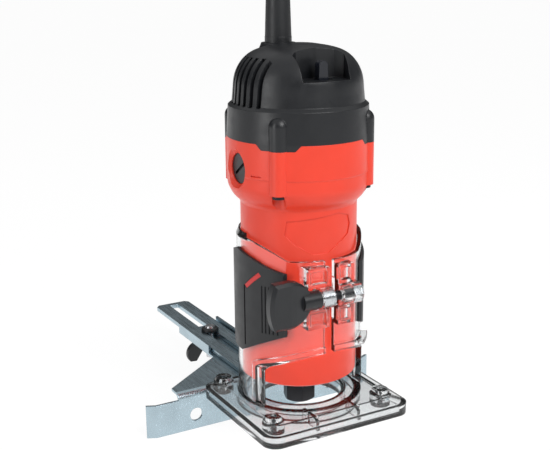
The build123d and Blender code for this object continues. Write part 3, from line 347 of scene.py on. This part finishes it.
FINISHES = {
    "red": ("motor_housing",),
    "black": (
        "rear_cap", "brush_caps", "cord_clamp", "switch_body", "fan_baffle", "bearing_bracket",
        "cooling_fan", "wing_nut", "arm_knob", "guide_washer",
    ),
    "paddle": ("clamp_paddle",),
    "gloss": ("switch_lever",),
    "rubber": ("left_grip_pad", "right_grip_pad", "cord_guard", "bearing_rubber"),
    "cord": ("plug_body", "cord_lead", "cord_tail", "cord_hank"),
    "inlay": ("grip_inlays",),
    "clear": ("clear_base", "sole_plate"),
    "zinc": ("guide_arm", "guide_plate"),
    "steel": (
        "clamp_ferrule", "clamp_nut", "armature_shaft", "collet", "guide_bolt",
        "front_bearing_inner_ring", "front_bearing_balls", "front_bearing_outer_ring",
        "rear_bearing_inner_ring", "rear_bearing_balls", "rear_bearing_outer_ring", "brush_springs",
    ),
    "dark_steel": ("cap_screws", "collet_nut", "sole_screws", "clamp_screw"),
    "core": ("stator_core", "rotor_core"),
    "copper": ("field_coils", "armature_windings", "commutator"),
    "brass": ("plug_pins", "arm_insert", "brush_holders"),
    "carbon": ("carbon_brushes",),
}


def dress_nodes():
    """Gives every CAD node its material."""
    for finish, names in FINISHES.items():
        for name in names:
            mesh = nodes[name].data
            mesh.materials.clear()
            mesh.materials.append(MATERIALS[finish])


# ---------------------------------------------------------------- studio


def make_floor():
    """A pale floor, level with the lowest edge of the guide and the cord."""
    half = 12
    corners = [(x * half, y * half, FLOOR_Z) for x, y in ((-1, -1), (1, -1), (1, 1), (-1, 1))]
    floor = add_mesh("floor", corners, [(0, 1, 2, 3)])
    paint = Finish("floor_paint", (0.8, 0.8, 0.8), 0.8)
    paint.set("Specular IOR Level", 0.2)
    paint.bump(paint.noise(300), 0.01)
    # It is seen nearly white, also in reflections, with the shadows kept faint.
    tree = paint.tree
    path = paint.node("ShaderNodeLightPath")
    seen = paint.node("ShaderNodeMapRange", Value=path.outputs["Is Diffuse Ray"])
    seen.inputs["To Min"].default_value = 0.82
    seen.inputs["To Max"].default_value = 0
    glow = paint.node("ShaderNodeEmission", Color=(1, 1, 1, 1), Strength=1.1)
    mix = paint.node("ShaderNodeMixShader")
    tree.links.new(seen.outputs["Result"], mix.inputs["Fac"])
    tree.links.new(paint.shader.outputs["BSDF"], mix.inputs[1])
    tree.links.new(glow.outputs["Emission"], mix.inputs[2])
    tree.links.new(mix.outputs["Shader"], tree.nodes["Material Output"].inputs["Surface"])
    floor.data.materials.append(paint.material)


def soft_light(name, place, size, power, colour=(1, 1, 1)):
    """An area light that faces the middle of the router."""
    data = bpy.data.lights.new(name, "AREA")
    data.shape, data.size, data.size_y = "RECTANGLE", *size
    data.energy, data.color = power, colour
    light = bpy.data.objects.new(name, data)
    light.location = place
    light.rotation_mode = "QUATERNION"
    light.rotation_quaternion = (Vector(place) - Vector((0, 0, 0.09))).to_track_quat("Z", "Y")
    bpy.context.scene.collection.objects.link(light)


def make_world():
    """A white backdrop that lights the router from a bright ceiling over a dim horizon."""
    world = bpy.data.worlds.new("studio")
    world.use_nodes = True
    tree = world.node_tree
    place = tree.nodes.new("ShaderNodeTexCoord")
    split = tree.nodes.new("ShaderNodeSeparateXYZ")
    tree.links.new(place.outputs["Generated"], split.inputs["Vector"])
    ramp = tree.nodes.new("ShaderNodeValToRGB")
    tree.links.new(split.outputs["Z"], ramp.inputs["Fac"])
    for stop, height, level in zip(ramp.color_ramp.elements, (0.4, 0.7), (0.2, 1.4)):
        stop.position = height
        stop.color = (level, level, level, 1)
    room = tree.nodes["Background"]
    tree.links.new(ramp.outputs["Color"], room.inputs["Color"])
    room.inputs["Strength"].default_value = 0.5
    backdrop = tree.nodes.new("ShaderNodeBackground")
    backdrop.inputs["Color"].default_value = (1, 1, 1, 1)
    path = tree.nodes.new("ShaderNodeLightPath")
    mix = tree.nodes.new("ShaderNodeMixShader")
    tree.links.new(path.outputs["Is Camera Ray"], mix.inputs["Fac"])
    tree.links.new(room.outputs["Background"], mix.inputs[1])
    tree.links.new(backdrop.outputs["Background"], mix.inputs[2])
    tree.links.new(mix.outputs["Shader"], tree.nodes["World Output"].inputs["Surface"])
    bpy.context.scene.world = world


def make_light():
    """The backdrop, a key light from the front, and a weaker one along the left side."""
    make_world()
    soft_light("key", (0.15, -0.75, 0.75), (0.5, 0.5), 6.5)
    soft_light("left", (-0.9, -0.1, 0.35), (0.25, 0.7), 2.4)
    bpy.context.scene.view_settings.view_transform = "Standard"


make_camera()
MATERIALS = make_materials()
dress_nodes()
make_cord()
make_floor()
make_light()
